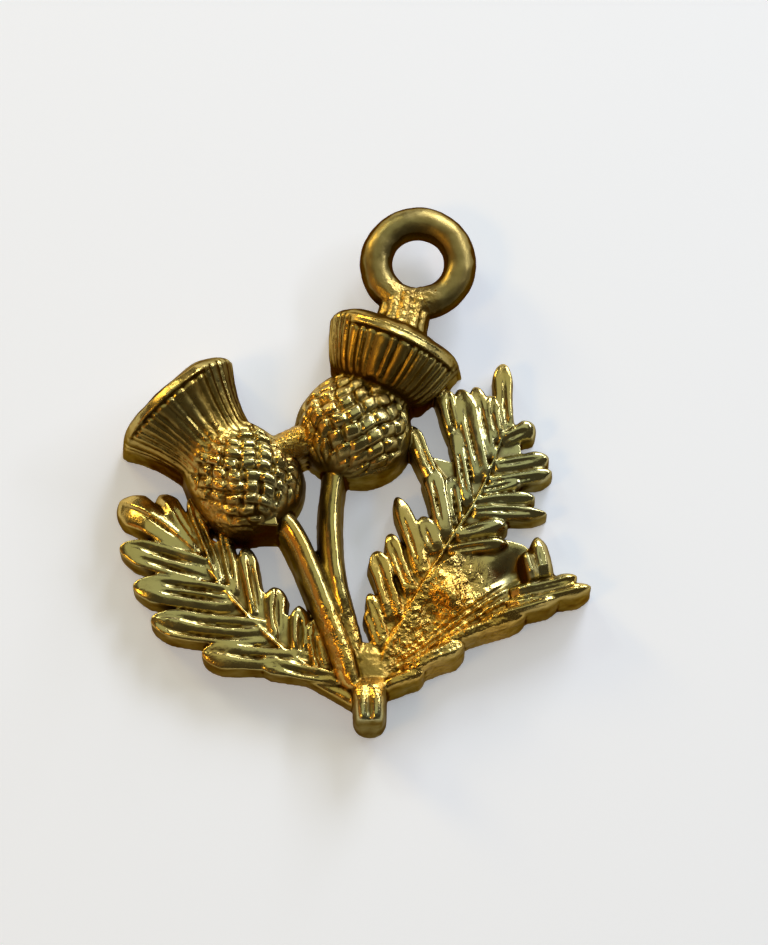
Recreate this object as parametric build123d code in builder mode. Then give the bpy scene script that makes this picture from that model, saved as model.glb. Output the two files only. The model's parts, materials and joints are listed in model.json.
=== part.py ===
from build123d import *
import math
import os

# A thistle charm cast in one piece of gold: two flower heads on their stems, three leaves and a
# stub of stalk on one flat back, with a hanging ring soldered to the taller head. Lengths are in
# millimetres and headings in degrees from +X. The back lies on Z = 0, the flowers face up, and
# the ring is at the +Y end. All relief is raised, and narrows from the back to its crest.

# Foot, where the stems and leaves meet
foot_x = 0.35
foot_y = -9.20

# Taller flower head
tall_head_x = 0.04
tall_head_y = 1.30
tall_head_lean = 67.0
tall_bulb_radius = 2.32
tall_bulb_back = 2.00
tall_bulb_shift = 0.17
tall_bulb_fullness = 1.8
tall_neck_radius = 1.62
tall_crown_length = 2.05
tall_rim_radius = 2.80
tall_flare = 0.55

# Lower flower head
low_head_x = -4.32
low_head_y = -0.76
low_head_lean = 131.0
low_bulb_radius = 2.15
low_bulb_back = 2.20
low_bulb_fullness = 2.6
low_neck_radius = 1.75
low_crown_length = 2.30
low_rim_radius = 2.80
low_flare = 1.50

# Both flower heads
head_axis_height = 1.25
head_wall_lean = 0.12
neck_distance = 1.85
cap_height = 1.00
scale_depth = 0.22
flute_depth = 0.20

# Rolled lips of the two rims: each starts a distance past its tuft's end, and lies between two
# turns round the head, in degrees from its left side
lip_rise = 0.10
lip_groove = 0.30
lip_groove_width = 0.20
lip_step = 0.42
tall_lip_start = -0.22
tall_lip_width = 0.36
tall_lip_from = 40.0
tall_lip_to = 172.0
low_lip_start = 0.00
low_lip_width = 0.52
low_lip_from = 17.0
low_lip_to = 135.0

# Hanging ring and its collar
ring_radius = 1.69
ring_wire = 1.33
ring_height = 1.50
ring_lean = 77.5
collar_length = 0.30
collar_width = 2.20
collar_shift = 0.10
collar_rib = 0.13

# Stems, the bridge between the heads, the web under the lower head, the stub of stalk and the
# knot above it
stem_edge_height = 0.80
stem_crest = 1.90
low_stem_width = 1.20
tall_stem_width = 1.08
bridge_width = 1.60
bridge_shift = 0.62
bridge_crest = 2.30
web_height = 2.35
web_lean = 0.32
stub_length = 1.62
stub_width = 1.45
stub_shift = 0.17
stub_crest = 2.20
knot_length = 2.40
knot_width = 2.10
knot_crest = 1.55
knot_drop = 0.35
knot_shift = 0.10
knot_heading = 86.0

# Leaves
low_leaf_length = 11.50
low_leaf_heading = 134.3
tall_leaf_length = 14.65
tall_leaf_heading = 67.8
side_leaf_length = 9.95
side_leaf_heading = 24.5
blade_height = 1.12
edge_height = 0.80
lobe_crest = 1.32
rib_width = 0.40
rib_crest = 1.30
plate_height = 0.95
side_edge_height = 1.10
side_lobe_crest = 1.70
trough_floor = 0.55
mound_crest = 1.50
spike_crest = 2.00

# Counts and shares
scales_along = 6
scales_round = 9
flutes = 15
collar_ribs = 6
edge_share = 0.88
side_edge_share = 0.68
crest_share = 0.45
low_blade_reach = 0.66
tall_blade_reach = 0.55
stub_heading = 271.0

# A lobe's sections. Columns: share of its run, of its half width, of its rise over the edge
lobe_sections = ((0.0, 0.70, 1.0), (0.45, 1.0, 1.0), (0.84, 0.62, 0.75), (1.0, 0.20, 0.25))

# The stub's sections. Columns: share of its length, of its width, of its crest
stub_sections = (
    (-0.35, 1.20, 0.75), (0.25, 1.05, 0.97), (0.75, 0.92, 0.95), (0.90, 0.72, 0.55), (1.0, 0.40, 0.15),
)

# The knot's sections. Columns: share of its length, of its width, of its crest
knot_sections = ((0.0, 0.60, 0.80), (0.35, 1.0, 1.0), (0.70, 0.80, 0.95), (1.0, 0.40, 0.80))

# A tuft's sections from neck to lip. Columns: share of that length, of the flutes' depth
tuft_sections = ((0.0, 0.6), (0.15, 1.0), (0.4, 1.0), (0.7, 1.0), (0.9, 0.8), (1.0, 0.4))

# A cap's sections, as shares of the way from the lip to the cap's end
cap_sections = (0.3, 0.6, 0.8, 0.96)

# Places on the stems; the taller one sinks under the other. Columns: share of the way from the
# flower to the foot, share of it to the left, share of the crest
low_stem_rows = (
    (-0.12, -0.03, 1.0), (0.0, 0.01, 1.0), (0.15, 0.02, 1.0), (0.43, 0.005, 1.0), (0.74, -0.022, 1.0),
    (0.88, -0.037, 0.92),
)
tall_stem_rows = (
    (-0.06, 0.01, 1.0), (0.0, 0.002, 1.0), (0.15, -0.036, 1.0), (0.33, -0.058, 1.0),
    (0.52, -0.056, 0.95), (0.70, -0.034, 0.75), (0.88, -0.016, 0.68), (0.96, -0.018, 0.64),
)

# Corners of the web. Columns: shares of the lower bulb's radius to +X and +Y from its middle
web_rows = ((-0.50, -0.50), (0.50, -0.52), (0.60, -0.90), (-0.30, -0.90))

# Leaves, in shares of their own length from the foot. Midrib columns: along, to the left, share of
# the rib's width. Lobe columns: root along, root to the left, tip along, tip to the left, width.
# Outline columns: along, to the left.
low_rib_rows = (
    (0.0, 0.0, 1.0), (0.15, 0.061, 0.95), (0.34, 0.095, 0.85), (0.54, 0.094, 0.75), (0.73, 0.075, 0.6),
    (0.93, 0.05, 0.4),
)
low_lobe_rows = (
    (0.080, 0.022, 0.335, 0.193, 0.077), (0.215, 0.062, 0.487, 0.302, 0.122),
    (0.384, 0.090, 0.696, 0.346, 0.120), (0.537, 0.088, 0.825, 0.308, 0.114),
    (0.657, 0.080, 0.957, 0.246, 0.110), (0.745, 0.070, 1.088, 0.132, 0.162),
    (0.740, 0.072, 1.010, 0.014, 0.110), (0.590, 0.094, 0.915, -0.045, 0.068),
    (0.525, 0.094, 0.790, -0.071, 0.052), (0.430, 0.085, 0.658, -0.066, 0.088),
    (0.325, 0.095, 0.482, -0.040, 0.112), (0.238, 0.073, 0.374, -0.056, 0.080),
    (0.128, 0.059, 0.304, -0.060, 0.096),
)
tall_rib_rows = (
    (0.0, 0.0, 1.2), (0.14, -0.009, 1.0), (0.33, -0.034, 0.8), (0.485, -0.059, 0.7), (0.64, -0.084, 0.6),
    (0.84, -0.080, 0.45),
)
tall_lobe_rows = (
    (0.120, -0.010, 0.226, 0.074, 0.072), (0.205, -0.012, 0.376, 0.120, 0.098),
    (0.300, -0.032, 0.380, 0.072, 0.052), (0.345, -0.036, 0.538, 0.124, 0.096),
    (0.427, -0.045, 0.515, 0.040, 0.050), (0.470, -0.052, 0.655, 0.072, 0.082),
    (0.600, 0.030, 0.735, 0.172, 0.074), (0.520, -0.069, 0.651, 0.010, 0.050),
    (0.577, -0.075, 0.785, 0.056, 0.054), (0.745, 0.030, 0.872, 0.122, 0.070),
    (0.649, -0.087, 0.886, 0.078, 0.080), (0.716, -0.086, 0.908, 0.040, 0.068),
    (0.778, -0.082, 0.900, -0.005, 0.050), (0.800, -0.098, 1.002, 0.004, 0.100),
    (0.782, -0.078, 0.866, -0.152, 0.078), (0.709, -0.081, 0.804, -0.221, 0.070),
    (0.664, -0.078, 0.762, -0.244, 0.064), (0.632, -0.074, 0.706, -0.176, 0.046),
    (0.596, -0.068, 0.682, -0.250, 0.056), (0.562, -0.063, 0.648, -0.274, 0.050),
    (0.485, -0.060, 0.578, -0.187, 0.066), (0.440, -0.050, 0.530, -0.205, 0.056),
)
side_rib_rows = (
    (0.0, 0.0, 1.4), (0.27, 0.020, 1.2), (0.50, 0.045, 1.0), (0.73, 0.060, 0.8), (0.90, 0.035, 0.6),
)
side_lobe_rows = (
    (0.060, -0.014, 0.250, -0.026, 0.096), (0.166, 0.006, 0.440, 0.004, 0.130),
    (0.350, 0.044, 0.714, 0.016, 0.104), (0.545, 0.066, 0.870, 0.024, 0.096),
    (0.667, 0.080, 1.000, 0.010, 0.110), (0.700, 0.125, 0.968, 0.072, 0.112),
)
side_spike_rows = ((0.848, 0.101, 0.888, 0.286, 0.084), (0.803, 0.110, 0.822, 0.250, 0.080))
side_outline_rows = (
    (0.05, 0.0), (0.149, 0.12), (0.253, 0.193), (0.379, 0.295), (0.497, 0.350), (0.647, 0.372),
    (0.765, 0.352), (0.838, 0.285), (0.880, 0.150), (0.94, 0.05), (0.70, 0.03), (0.40, 0.02),
)
trough_rows = ((0.70, 0.29), (0.80, 0.26), (0.82, 0.17), (0.70, 0.14), (0.60, 0.20))
mound_foot_rows = ((0.40, 0.21), (0.50, 0.29), (0.58, 0.27), (0.53, 0.18), (0.42, 0.13), (0.35, 0.14))
mound_crest_rows = ((0.42, 0.21), (0.49, 0.27), (0.55, 0.25), (0.51, 0.19), (0.43, 0.15), (0.39, 0.16))


def on_plan(start, heading, along, across):
    """A place a distance along a heading from a start, and a distance to the heading's left."""
    turn = math.radians(heading)
    return (
        start[0] + along * math.cos(turn) - across * math.sin(turn),
        start[1] + along * math.sin(turn) + across * math.cos(turn),
    )


def on_leaf(heading, length, row):
    """A place on a leaf, from a row that starts with its shares along and to the left."""
    return on_plan(foot, heading, length * row[0], length * row[1])


def places_on_leaf(heading, length, rows):
    return [on_leaf(heading, length, row) for row in rows]


def heading_between(start, end):
    return math.degrees(math.atan2(end[1] - start[1], end[0] - start[0]))


def strip_section(place, heading, half_width, edge, crest, top_share=edge_share):
    """Six corners of a raised strip's section: two on the back, two on the edges, two on the crest."""
    corners = []
    for share, height in ((1.0, 0), (top_share, edge), (crest_share, crest)):
        corners.append((*on_plan(place, heading, 0, share * half_width), height))
        corners.append((*on_plan(place, heading, 0, -share * half_width), height))
    return corners


def strip(places, widths, edge, crests):
    """A raised strip through a row of places, one straight-sided length between each two."""
    lengths = []
    for i in range(len(places) - 1):
        corners = []
        for j in (i, i + 1):
            before = places[max(j - 1, 0)]
            after = places[min(j + 1, len(places) - 1)]
            way = heading_between(before, after)
            corners += strip_section(places[j], way, widths[j] / 2, edge, crests[j])
        lengths.append(ConvexPolyhedron(corners, mode=Mode.PRIVATE))
    return lengths


def lobe(heading, length, row, edge, crest, top_share=edge_share):
    """One tongue of a leaf, widest halfway and falling to a blunt tip."""
    root = on_leaf(heading, length, row[0:2])
    tip = on_leaf(heading, length, row[2:4])
    run = math.dist(root, tip)
    way = heading_between(root, tip)
    corners = []
    for share, width, rise in lobe_sections:
        place = on_plan(root, way, share * run, 0)
        height = edge + rise * (crest - edge)
        corners += strip_section(place, way, width * length * row[4] / 2, edge, height, top_share)
    return ConvexPolyhedron(corners, mode=Mode.PRIVATE)


def lobes(heading, length, rows, edge, crest, top_share=edge_share):
    return [lobe(heading, length, row, edge, crest, top_share) for row in rows]


def midrib(heading, length, rows, crest):
    places = places_on_leaf(heading, length, rows)
    widths = [rib_width * row[2] for row in rows]
    return strip(places, widths, edge_height, [crest] * len(rows))


def blade_outline(rib_rows, lobe_rows, reach):
    """Rows round a leaf's blade: out along the lobes on the left, each for a share of its run, to
    the midrib's end, and back along the lobes on the right."""
    left = []
    right = []
    for row in lobe_rows:
        along = row[0] + reach * (row[2] - row[0])
        across = row[1] + reach * (row[3] - row[1])
        side = left if row[3] > row[1] else right
        side.append((along, across))
    return [rib_rows[0][:2]] + sorted(left) + [rib_rows[-1][:2]] + sorted(right, reverse=True)


def shell_through(rings, falls):
    """A closed solid of flat facets through rings of as many corners each, its ends closed flat.
    Each four-sided cell is cut in two, from its second corner where falls(i, j), else its first."""
    faces = [Face(Wire.make_polygon(rings[0])), Face(Wire.make_polygon(rings[-1]))]
    count = len(rings[0])
    for j in range(len(rings) - 1):
        for i in range(count):
            k = (i + 1) % count
            a = rings[j][i]
            b = rings[j][k]
            c = rings[j + 1][k]
            d = rings[j + 1][i]
            halves = ((a, b, d), (b, c, d)) if falls(i, j) else ((a, b, c), (a, c, d))
            faces += [Face(Wire.make_polygon(half)) for half in halves]
    return Solid(Shell(faces)).clean()


def arch(place, lean, along, radii):
    """A half-round section across a head: a foot on the back each side and an arch between them."""
    middle = on_plan(place, lean, along, 0)
    corners = [(*on_plan(middle, lean, 0, radii[0] + head_wall_lean), 0)]
    for i, radius in enumerate(radii):
        turn = math.pi * i / (len(radii) - 1)
        height = head_axis_height + radius * math.sin(turn)
        corners.append((*on_plan(middle, lean, 0, radius * math.cos(turn)), height))
    corners.append((*on_plan(middle, lean, 0, -radii[-1] - head_wall_lean), 0))
    return corners


def bulb(place, lean, radius, back, neck, fullness):
    """The egg-shaped base of a flower, covered in square scales that stand on their corners."""
    rings = []
    start = -0.96 * back
    for j in range(2 * scales_along + 1):
        along = start + (neck_distance - start) * j / (2 * scales_along)
        if along < 0:
            swell = radius * (1 - (-along / back) ** fullness) ** 0.5
        else:
            swell = radius - (radius - neck) * (along / neck_distance) ** 2
        radii = [swell] * (2 * scales_round + 1)
        for i in range(1, 2 * scales_round):
            if (i + j) % 2 == 1:
                radii[i] = swell - scale_depth * swell / radius
        rings.append(arch(place, lean, along, radii))
    return shell_through(rings, lambda i, j: (i + j) % 2 == 1)


def crown(place, lean, length, neck, rim, flare, lip_start, lip_width, lip_from, lip_to):
    """The tuft of petals that flares in flutes from the neck to a rolled lip, closed by a smooth cap.
    Between the lip's two turns a groove lies before the lip and a step behind it."""
    lip_place = length + lip_start
    lip_end = lip_place + lip_width
    sections = []
    for share, depth in tuft_sections:
        sections.append((share * (lip_place - lip_groove_width), depth, 0))
    for share, proud in ((-0.1, -lip_groove), (0.2, lip_rise), (0.8, lip_rise), (1.0, -lip_step)):
        sections.append((lip_place + share * lip_width, 0, proud))
    for share in cap_sections:
        sections.append((lip_end + share * (length + cap_height - lip_end), 0, 0))
    rings = [arch(place, lean, 0.82 * neck_distance, [0.94 * neck] * (2 * flutes + 1))]
    for along, depth, proud in sections:
        if along < length:
            swell = neck + (rim - neck) * (along / length) ** flare
        else:
            swell = rim * (1 - ((along - length) / cap_height) ** 2) ** 0.5
        radii = []
        for i in range(2 * flutes + 1):
            on_lip = lip_from <= 90 * i / flutes <= lip_to
            radii.append(swell - flute_depth * depth * (i % 2) + (proud if on_lip else 0))
        rings.append(arch(place, lean, neck_distance + along, radii))
    return shell_through(rings, lambda i, j: i % 2 == 1)


foot = (foot_x, foot_y)
tall_head = (tall_head_x, tall_head_y)
low_head = (low_head_x, low_head_y)

# Taller flower head, its bulb a little to the left of its crown
tall_bulb = on_plan(tall_head, tall_head_lean, 0, tall_bulb_shift)
tall_bulb_shape = (tall_bulb_radius, tall_bulb_back, tall_neck_radius, tall_bulb_fullness)
tall_crown_shape = (tall_crown_length, tall_neck_radius, tall_rim_radius, tall_flare)
tall_lip = (tall_lip_start, tall_lip_width, tall_lip_from, tall_lip_to)
with BuildPart() as tall_flower:
    add(bulb(tall_bulb, tall_head_lean, *tall_bulb_shape))
    add(crown(tall_head, tall_head_lean, *tall_crown_shape, *tall_lip))

# Lower flower head
low_bulb_shape = (low_bulb_radius, low_bulb_back, low_neck_radius, low_bulb_fullness)
low_crown_shape = (low_crown_length, low_neck_radius, low_rim_radius, low_flare)
low_lip = (low_lip_start, low_lip_width, low_lip_from, low_lip_to)
with BuildPart() as low_flower:
    add(bulb(low_head, low_head_lean, *low_bulb_shape))
    add(crown(low_head, low_head_lean, *low_crown_shape, *low_lip))

# Hanging ring: its hole has a straight wall between two rounded lips
cap_top = on_plan(tall_head, tall_head_lean, neck_distance + tall_crown_length + cap_height, 0)
ring_outer = ring_radius + ring_wire / 2
ring_middle = on_plan(cap_top, ring_lean, collar_length + ring_outer, 0)
ring_corner = 0.32 * ring_wire
with BuildPart() as hanging_ring:
    with BuildSketch(Plane(origin=(*ring_middle, ring_height), x_dir=(1, 0, 0), z_dir=(0, -1, 0))):
        with Locations((ring_radius, 0)):
            RectangleRounded(ring_wire, ring_wire, ring_corner)
    revolve(axis=Axis((*ring_middle, ring_height), (0, 0, 1)))

# Collar: an oval neck from the cap into the ring, with ribs over its upper half
collar_start = on_plan(cap_top, ring_lean, -0.5 * cap_height, collar_shift)
collar_end = on_plan(cap_top, ring_lean, collar_length + 0.6 * ring_wire, collar_shift)
along_collar = (*on_plan((0, 0), ring_lean, 1, 0), 0)
across_collar = (*on_plan((0, 0), ring_lean, 0, 1), 0)
collar_ovals = (
    (collar_start, collar_width / 2, 0.72 * ring_wire + collar_rib),
    (collar_end, 0.88 * collar_width / 2, 0.48 * ring_wire),
)
rib_step = math.pi / collar_ribs
with BuildPart() as collar:
    for end, half_width, half_height in collar_ovals:
        with BuildSketch(Plane(origin=(*end, ring_height), x_dir=across_collar, z_dir=along_collar)):
            Ellipse(half_width, half_height)
    loft()
    ribs = []
    for i in range(collar_ribs):
        turn = rib_step * (i + 0.5)
        corners = []
        for end, half_width, half_height in collar_ovals:
            for share, proud in ((-0.3, 0), (0.3, 0), (0, collar_rib), (0, -collar_rib)):
                angle = turn + share * rib_step
                across = (half_width + proud) * math.cos(angle)
                height = ring_height + (half_height + proud) * math.sin(angle)
                corners.append((*on_plan(end, ring_lean, 0, across), height))
        ribs.append(ConvexPolyhedron(corners, mode=Mode.PRIVATE))
    add(ribs)

# Stems, each from the base of its bulb to the foot
low_base = on_plan(low_head, low_head_lean, -1.10 * low_bulb_back, 0)
tall_base = on_plan(tall_bulb, tall_head_lean, -0.95 * tall_bulb_back, 0)
with BuildPart() as stems:
    for base, rows, width in (
        (low_base, low_stem_rows, low_stem_width), (tall_base, tall_stem_rows, tall_stem_width),
    ):
        run = math.dist(base, foot)
        way = heading_between(base, foot)
        places = [on_plan(base, way, run * row[0], run * row[1]) for row in rows]
        crests = [stem_crest * row[2] for row in rows]
        add(strip(places, [width] * len(rows), stem_edge_height, crests))

# Bridge between the flowers, and the thick web that joins the lower one to its leaf and stem
bridge_way = heading_between(low_head, tall_head)
bridge_places = (
    on_plan(low_head, bridge_way, 0.55 * low_bulb_radius, bridge_shift),
    on_plan(tall_head, bridge_way, -0.55 * tall_bulb_radius, bridge_shift),
)
with BuildPart() as joins:
    add(strip(bridge_places, [bridge_width] * 2, head_axis_height, [bridge_crest] * 2))
    web = []
    for x, y in web_rows:
        corner = (low_head_x + x * low_bulb_radius, low_head_y + y * low_bulb_radius)
        web.append((*corner, web_height))
        web.append((corner[0], corner[1] - web_lean, 0))
    add(ConvexPolyhedron(web, mode=Mode.PRIVATE))

# Stub of stalk below the foot, cut off round, and the knot where it meets the stems and leaves
with BuildPart() as stub:
    corners = []
    for share, width, rise in stub_sections:
        place = on_plan((foot_x + stub_shift, foot_y), stub_heading, share * stub_length, 0)
        half_width = width * stub_width / 2
        crest = rise * stub_crest
        corners += strip_section(place, stub_heading, half_width, 0.72 * crest, crest)
    add(ConvexPolyhedron(corners, mode=Mode.PRIVATE))
    corners = []
    for share, width, rise in knot_sections:
        place = on_plan((foot_x + knot_shift, foot_y - knot_drop), knot_heading, share * knot_length, 0)
        half_width = width * knot_width / 2
        crest = rise * knot_crest
        corners += strip_section(place, knot_heading, half_width, 0.75 * crest, crest)
    add(ConvexPolyhedron(corners, mode=Mode.PRIVATE))

# Leaf on the left, up to the lower flower
low_blade_rows = blade_outline(low_rib_rows, low_lobe_rows, low_blade_reach)
with BuildPart() as low_leaf:
    with BuildSketch():
        with BuildLine():
            Polyline(places_on_leaf(low_leaf_heading, low_leaf_length, low_blade_rows), close=True)
        make_face()
    extrude(amount=blade_height)
    add(lobes(low_leaf_heading, low_leaf_length, low_lobe_rows, edge_height, lobe_crest))
    add(midrib(low_leaf_heading, low_leaf_length, low_rib_rows, rib_crest))

# Tall leaf on the right, whose longest lobes reach the taller flower
tall_blade_rows = blade_outline(tall_rib_rows, tall_lobe_rows, tall_blade_reach)
with BuildPart() as tall_leaf:
    with BuildSketch():
        with BuildLine():
            Polyline(places_on_leaf(tall_leaf_heading, tall_leaf_length, tall_blade_rows), close=True)
        make_face()
    extrude(amount=blade_height)
    add(lobes(tall_leaf_heading, tall_leaf_length, tall_lobe_rows, edge_height, lobe_crest))
    add(midrib(tall_leaf_heading, tall_leaf_length, tall_rib_rows, rib_crest))

# Leaf at the lower right: a plate with a sunken trough and a mound, lobes along its lower edge and
# two spikes near its tip
with BuildPart() as side_leaf:
    with BuildSketch():
        with BuildLine():
            Polyline(places_on_leaf(side_leaf_heading, side_leaf_length, side_outline_rows), close=True)
        make_face()
    extrude(amount=plate_height)
    with BuildSketch(Plane.XY.offset(trough_floor)):
        with BuildLine():
            Polyline(places_on_leaf(side_leaf_heading, side_leaf_length, trough_rows), close=True)
        make_face()
    extrude(amount=plate_height, mode=Mode.SUBTRACT)
    mound = []
    for rows, height in ((mound_foot_rows, 0), (mound_crest_rows, mound_crest)):
        for place in places_on_leaf(side_leaf_heading, side_leaf_length, rows):
            mound.append((*place, height))
    add(ConvexPolyhedron(mound, mode=Mode.PRIVATE))
    side_edge = (side_edge_height, side_lobe_crest, side_edge_share)
    add(lobes(side_leaf_heading, side_leaf_length, side_lobe_rows, *side_edge))
    add(lobes(side_leaf_heading, side_leaf_length, side_spike_rows, edge_height, spike_crest))
    add(midrib(side_leaf_heading, side_leaf_length, side_rib_rows, lobe_crest))

# One casting, with its origin on the back under the middle of its outline
features = (
    tall_flower, low_flower, hanging_ring, collar, stems, joins, stub, low_leaf, tall_leaf, side_leaf,
)
with BuildPart() as casting:
    add([feature.part for feature in features])
middle = casting.part.bounding_box().center()
with BuildPart() as thistle_charm:
    with Locations((-middle.X, -middle.Y, 0)):
        add(casting.part)

thistle_charm.part.label = "thistle_charm"
os.makedirs("parts", exist_ok=True)
export_step(thistle_charm.part, "parts/thistle_charm.step")

hole_radius = ring_radius - ring_wire / 2
hole_wall = ring_wire - 2 * ring_corner
hole_middle = (ring_middle[0] - middle.X, ring_middle[1] - middle.Y, ring_height)
print("ring hole", hole_middle, "radius", hole_radius, "length", hole_wall)
print("volume", thistle_charm.part.volume, "solids", len(thistle_charm.part.solids()))
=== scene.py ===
import json
import math
import bpy
import numpy as np
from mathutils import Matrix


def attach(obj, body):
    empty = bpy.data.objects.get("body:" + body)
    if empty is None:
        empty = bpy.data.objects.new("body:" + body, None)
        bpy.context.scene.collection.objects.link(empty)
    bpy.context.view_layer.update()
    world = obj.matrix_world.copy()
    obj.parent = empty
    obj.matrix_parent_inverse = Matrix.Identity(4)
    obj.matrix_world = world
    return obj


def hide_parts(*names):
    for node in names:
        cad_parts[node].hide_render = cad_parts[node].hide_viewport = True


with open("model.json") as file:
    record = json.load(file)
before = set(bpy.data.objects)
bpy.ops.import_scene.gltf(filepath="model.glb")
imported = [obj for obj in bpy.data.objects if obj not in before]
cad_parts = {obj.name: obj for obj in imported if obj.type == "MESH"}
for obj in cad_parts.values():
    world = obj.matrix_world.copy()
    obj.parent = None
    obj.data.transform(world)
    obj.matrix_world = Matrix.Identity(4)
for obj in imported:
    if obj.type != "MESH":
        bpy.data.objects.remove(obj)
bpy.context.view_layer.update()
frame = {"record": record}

# Camera: it looks down on the charm as it lies, tilted a little off the upright towards the foot.
# Lengths in this file are millimetres until a mesh, a light or the camera takes them.
MM = 0.001
picture_height = 945
picture_scale = 0.04
camera_distance = 180.0
camera_tilt = math.radians(15.0)
camera_aim = np.array([1.252, -0.150, 1.0])
camera_clip = 10.0
sensor = 36.0


def look(thing, place, aim):
    """Puts a camera or a light at a place and turns its -Z to the aim, its +Y as high as can be."""
    away = (place - aim) / np.linalg.norm(place - aim)
    right = np.cross([0.0, 1.0, 0.0], away)
    right /= np.linalg.norm(right)
    turn = np.identity(4)
    turn[:3, 0], turn[:3, 1], turn[:3, 2] = right, np.cross(away, right), away
    turn[:3, 3] = place * MM
    thing.matrix_world = turn.T
    bpy.context.scene.collection.objects.link(thing)


camera_data = bpy.data.cameras.new("camera")
camera_data.sensor_width = sensor
camera_data.lens = sensor * camera_distance / (picture_height * picture_scale)
camera_data.clip_start = camera_clip * MM
camera = bpy.data.objects.new("camera", camera_data)
camera_way = np.array([0.0, -math.sin(camera_tilt), math.cos(camera_tilt)])
look(camera, camera_aim + camera_distance * camera_way, camera_aim)
bpy.context.scene.camera = camera
bpy.context.scene.view_settings.view_transform = "Standard"

# Studio: a plain pale floor under the charm, and a few soft panels in a dim room. The metal shows
# the panels as its lights and the room as its darks.
floor_half = 900.0
floor_colour = "ECF0F7"
floor_roughness = 0.9
floor_glow = "F0F2F6"
floor_glow_strength = 0.34
room_colour = "A8A08E"
room_strength = 0.13

# Columns: name, place, width, height, radiance, colour
panels = (
    ("window_panel", (154.0, 381.0, 190.0), 175.0, 175.0, 13.5, "E8F0FF"),
    ("side_panel", (330.0, 225.0, 225.0), 40.0, 300.0, 15.0, "E8F0FF"),
    ("back_panel", (-185.0, 328.0, 243.0), 80.0, 50.0, 12.0, "EEF6E0"),
    ("lamp_panel", (-308.0, 297.0, 150.0), 110.0, 90.0, 15.0, "FFDE8C"),
    ("left_lamp_panel", (-240.0, -110.0, 300.0), 75.0, 75.0, 9.0, "FFCC60"),
    ("ceiling_panel", (60.0, 190.0, 600.0), 640.0, 520.0, 0.51, "E2F0E0"),
    ("warm_panel", (-420.0, -160.0, 200.0), 300.0, 500.0, 0.34, "FFAC52"),
)


def linear(hex_colour):
    """The linear values of an sRGB colour given as six hex digits, by the sRGB curve."""
    share = np.array([int(hex_colour[i:i + 2], 16) for i in (0, 2, 4)]) / 255
    curve = np.where(share <= 0.04045, share / 12.92, ((share + 0.055) / 1.055) ** 2.4)
    return (*curve, 1.0)


floor_mesh = bpy.data.meshes.new("floor")
floor_corners = np.array([(-1, -1, 0), (1, -1, 0), (1, 1, 0), (-1, 1, 0)]) * floor_half * MM
floor_mesh.from_pydata(floor_corners.tolist(), [], [(0, 1, 2, 3)])
floor = bpy.data.objects.new("floor", floor_mesh)
bpy.context.scene.collection.objects.link(floor)
floor_paint = bpy.data.materials.new("matt_white_card")
floor_paint.use_nodes = True
floor_shader = floor_paint.node_tree.nodes["Principled BSDF"]
floor_shader.inputs["Base Color"].default_value = linear(floor_colour)
floor_shader.inputs["Roughness"].default_value = floor_roughness
floor_shader.inputs["Emission Color"].default_value = linear(floor_glow)
floor_shader.inputs["Emission Strength"].default_value = floor_glow_strength
floor_mesh.materials.append(floor_paint)

for name, place, width, height, radiance, colour in panels:
    lamp = bpy.data.lights.new(name, "AREA")
    lamp.shape = "RECTANGLE"
    lamp.size = width * MM
    lamp.size_y = height * MM
    lamp.color = linear(colour)[:3]
    lamp.energy = radiance * math.pi * width * height * MM**2
    look(bpy.data.objects.new(name, lamp), np.array(place), np.zeros(3))

room = bpy.data.worlds.new("room")
room.use_nodes = True
bpy.context.scene.world = room
room_light = room.node_tree.nodes["Background"]
room_light.inputs["Color"].default_value = linear(room_colour)
room_light.inputs["Strength"].default_value = room_strength

# Leaves: the charm is cast in one piece of gold, and its leaves are thin blades that carry a midrib
# and long rounded lobes. The lobes overlap like roof tiles, with sharp grooves between them and
# fine cuts filed along them in the wax.
foot = (0.35, -9.20)
low_leaf_length = 11.50
low_leaf_heading = 134.3
tall_leaf_length = 14.65
tall_leaf_heading = 67.8
blade_height = 1.08
low_blade_reach = 0.66
tall_blade_reach = 0.55
edge_height = 0.80
left_edge_height = 1.06
edge_share = 0.88
lobe_crest = 1.32
rib_width = 0.34
rib_crest = 1.28

# How a leaf's side is filed. Columns: where a lobe's crest lies across it, fullness of its dome,
# and the pitch, width and depth of the cuts in it
low_left_filing = (-0.15, 6.0, 0.44, 0.18, 0.25)
low_end_filing = (0.35, 3.0, 0.80, 0.14, 0.20)
low_right_filing = (0.35, 2.2, 0.40, 0.20, 0.40)
tall_left_filing = (-0.15, 6.0, 0.42, 0.13, 0.22)
tall_right_filing = (0.30, 2.3, 0.45, 0.18, 0.18)

# A cut starts and ends within these shares of its lobe, runs in and out over these, and is as deep
# as its side's cuts times a share from here
cut_start = (0.0, 0.2)
cut_end = (0.75, 0.95)
cut_run_in = 0.35
cut_run_out = 0.40
cut_unevenness = (0.5, 1.2)
cut_shift = 0.25

# A lobe's sections. Columns: share of its run, of its half spacing, of its half width, of its rise
lobe_sections = np.array((
    (0.0, 0.75, 0.0, 0.25), (0.12, 0.95, 0.0, 0.80), (0.30, 1.0, 0.0, 1.0), (0.58, 0.92, 0.08, 1.0),
    (0.72, 0.58, 0.42, 0.985), (0.80, 0.32, 0.66, 0.95), (0.88, 0.16, 0.64, 0.88),
    (0.95, 0.05, 0.62, 0.76), (1.0, 0.0, 0.60, 0.55),
))
lobe_steps = 80
lobe_steps_across = 61
lobe_overlap = 1.16
lobe_least_root = 0.75
lobe_most_root = 1.7
lobe_middle = 0.45
lobe_bow = 0.03
lobe_nose = 0.84
lobe_nose_fullness = 2.3
lobe_unevenness = 0.12
facet_tilt = 0.32
tip_fall = 0.74
tip_from = 0.62
tip_slant = 0.05
tip_ease = 1.4

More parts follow.
